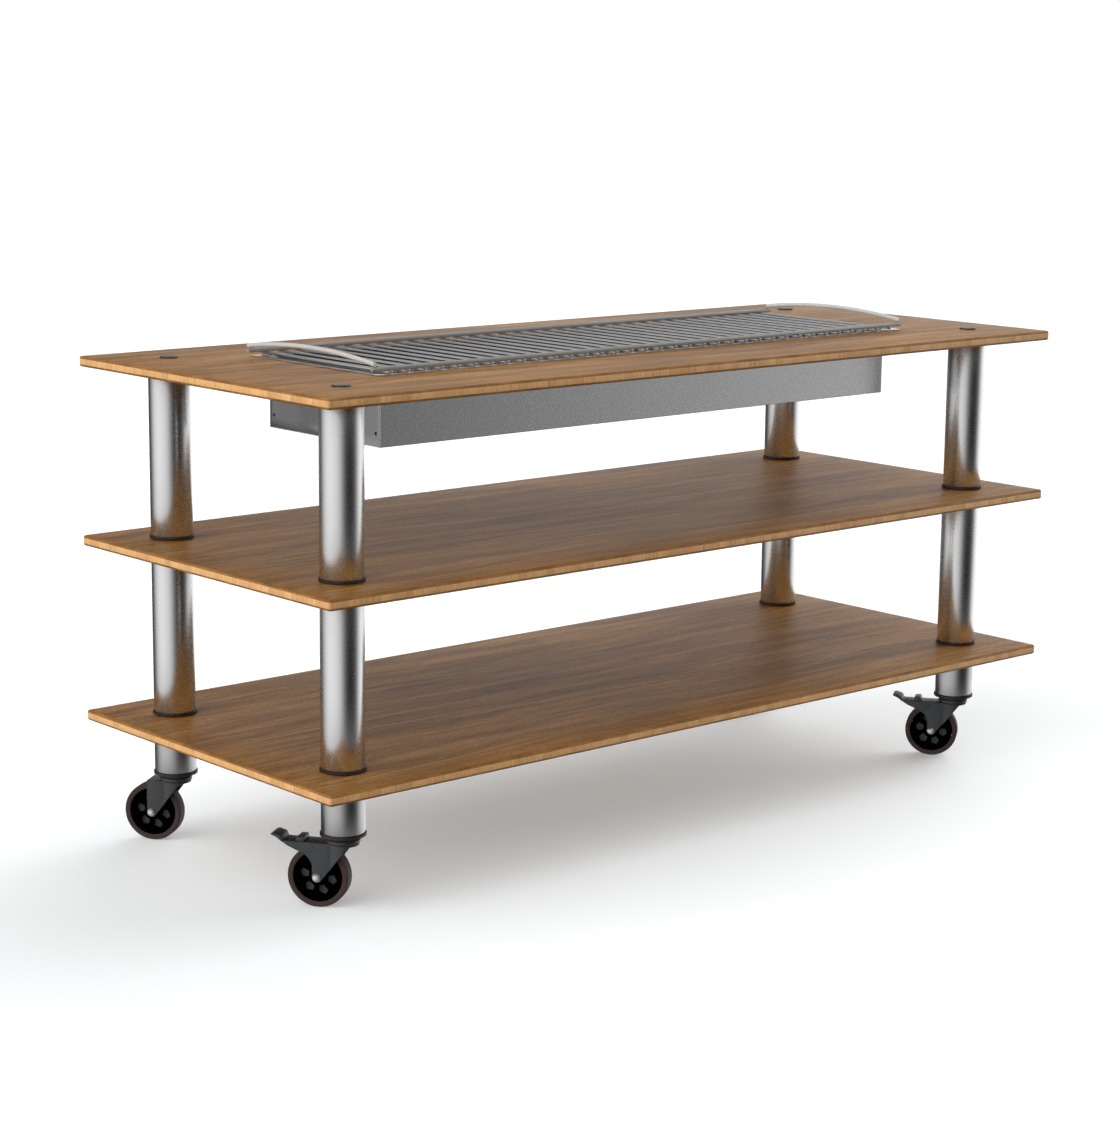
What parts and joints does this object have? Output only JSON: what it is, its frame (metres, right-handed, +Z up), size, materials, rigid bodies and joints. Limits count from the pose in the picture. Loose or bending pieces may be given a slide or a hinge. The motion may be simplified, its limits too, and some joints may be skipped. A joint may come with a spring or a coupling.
{
  "type": "rolling barbecue grill table",
  "caption": "Rolling grill table: long rounded-edge boards on stacked tube columns and swivel casters, with a sunk sheet-steel firebox and a lift-off bar grate.",
  "frame": {"origin": "centre of the footprint on the floor", "axes": "+X along the length of the boards, -Y the front long side, +Z up"},
  "size_m": [1.7, 0.704, 0.872],
  "materials": {
    "bamboo_board": "satin oiled laminated bamboo, long grain along the board, pale glued strips on the edges",
    "brushed_tube": "satin stainless tube",
    "dark_collar": "near-black brown moulded ring",
    "rod_steel": "turned steel cap and rod",
    "coated_steel": "dark grey powder coat on pressed steel",
    "wheel_disc": "black moulded nylon",
    "wheel_tread": "dark brown solid tread",
    "bright_axle": "polished domed axle caps",
    "firebox_sheet": "fine-grained satin sheet steel, polished on the flange",
    "charcoal_sheet": "heat-dulled slotted sheet steel",
    "grate_steel": "polished round stainless bars with satin rails and handles"
  },
  "bodies": {
    "table": {"bottom_shelf": "bamboo_board", "middle_shelf": "bamboo_board", "top_board": "bamboo_board", "upper_tube_front_left": "brushed_tube", "lower_tube_front_left": "brushed_tube", "stub_tube_front_left": "brushed_tube", "upper_collar_front_left": "dark_collar", "lower_collar_front_left": "dark_collar", "foot_cap_front_left": "dark_collar", "tie_rod_front_left": "rod_steel", "caster_race_front_left": "coated_steel", "upper_tube_front_right": "brushed_tube", "lower_tube_front_right": "brushed_tube", "stub_tube_front_right": "brushed_tube", "upper_collar_front_right": "dark_collar", "lower_collar_front_right": "dark_collar", "foot_cap_front_right": "dark_collar", "tie_rod_front_right": "rod_steel", "caster_race_front_right": "coated_steel", "upper_tube_back_left": "brushed_tube", "lower_tube_back_left": "brushed_tube", "stub_tube_back_left": "brushed_tube", "upper_collar_back_left": "dark_collar", "lower_collar_back_left": "dark_collar", "foot_cap_back_left": "dark_collar", "tie_rod_back_left": "rod_steel", "caster_race_back_left": "coated_steel", "upper_tube_back_right": "brushed_tube", "lower_tube_back_right": "brushed_tube", "stub_tube_back_right": "brushed_tube", "upper_collar_back_right": "dark_collar", "lower_collar_back_right": "dark_collar", "foot_cap_back_right": "dark_collar", "tie_rod_back_right": "rod_steel", "caster_race_back_right": "coated_steel", "firebox_trough": "firebox_sheet", "firebox_end_panel_left": "firebox_sheet", "firebox_end_panel_right": "firebox_sheet"},
    "cooking_grate": {"cooking_grate": "grate_steel", "grate_handle_left": "grate_steel", "grate_handle_right": "grate_steel"},
    "charcoal_grate": {"charcoal_grate": "charcoal_sheet"},
    "swivel_front_left": {"caster_fork_front_left": "coated_steel", "caster_axle_front_left": "bright_axle"},
    "wheel_front_left": {"wheel_hub_front_left": "wheel_disc", "wheel_tyre_front_left": "wheel_tread"},
    "pedal_front_left": {"brake_pedal_front_left": "coated_steel"},
    "swivel_front_right": {"caster_fork_front_right": "coated_steel", "caster_axle_front_right": "bright_axle"},
    "wheel_front_right": {"wheel_hub_front_right": "wheel_disc", "wheel_tyre_front_right": "wheel_tread"},
    "pedal_front_right": {"brake_pedal_front_right": "coated_steel"},
    "swivel_back_left": {"caster_fork_back_left": "coated_steel", "caster_axle_back_left": "bright_axle"},
    "wheel_back_left": {"wheel_hub_back_left": "wheel_disc", "wheel_tyre_back_left": "wheel_tread"},
    "swivel_back_right": {"caster_fork_back_right": "coated_steel", "caster_axle_back_right": "bright_axle"},
    "wheel_back_right": {"wheel_hub_back_right": "wheel_disc", "wheel_tyre_back_right": "wheel_tread"}
  },
  "joints": [
    {"name": "cooking_grate_lift", "type": "slide", "parent": "table", "child": "cooking_grate", "axis": [0, 0, 1], "range_m": [0, 0.2]},
    {"name": "charcoal_grate_lift", "type": "slide", "parent": "table", "child": "charcoal_grate", "axis": [0, 0, 1], "range_m": [0, 0.06]},
    {"name": "swivel_front_left_turn", "type": "hinge", "parent": "table", "child": "swivel_front_left", "pos_m": [-0.743, -0.24, 0.1], "axis": [0, 0, 1], "continuous": true},
    {"name": "wheel_front_left_spin", "type": "hinge", "parent": "swivel_front_left", "child": "wheel_front_left", "pos_m": [-0.76616, -0.20813, 0.0505], "axis": [-0.809, -0.5878, 0], "continuous": true},
    {"name": "pedal_front_left_press", "type": "hinge", "parent": "swivel_front_left", "child": "pedal_front_left", "pos_m": [-0.76957, -0.20343, 0.0993], "axis": [-0.809, -0.5878, 0], "range_deg": [0, 5]},
    {"name": "swivel_front_right_turn", "type": "hinge", "parent": "table", "child": "swivel_front_right", "pos_m": [0.743, -0.24, 0.1], "axis": [0, 0, 1], "continuous": true},
    {"name": "wheel_front_right_spin", "type": "hinge", "parent": "swivel_front_right", "child": "wheel_front_right", "pos_m": [0.71984, -0.20813, 0.0505], "axis": [-0.809, -0.5878, 0], "continuous": true},
    {"name": "pedal_front_right_press", "type": "hinge", "parent": "swivel_front_right", "child": "pedal_front_right", "pos_m": [0.71643, -0.20343, 0.0993], "axis": [-0.809, -0.5878, 0], "range_deg": [0, 5]},
    {"name": "swivel_back_left_turn", "type": "hinge", "parent": "table", "child": "swivel_back_left", "pos_m": [-0.743, 0.24, 0.1], "axis": [0, 0, 1], "continuous": true},
    {"name": "wheel_back_left_spin", "type": "hinge", "parent": "swivel_back_left", "child": "wheel_back_left", "pos_m": [-0.76616, 0.27187, 0.0505], "axis": [-0.809, -0.5878, 0], "continuous": true},
    {"name": "swivel_back_right_turn", "type": "hinge", "parent": "table", "child": "swivel_back_right", "pos_m": [0.743, 0.24, 0.1], "axis": [0, 0, 1], "continuous": true},
    {"name": "wheel_back_right_spin", "type": "hinge", "parent": "swivel_back_right", "child": "wheel_back_right", "pos_m": [0.71984, 0.27187, 0.0505], "axis": [-0.809, -0.5878, 0], "continuous": true}
  ]
}
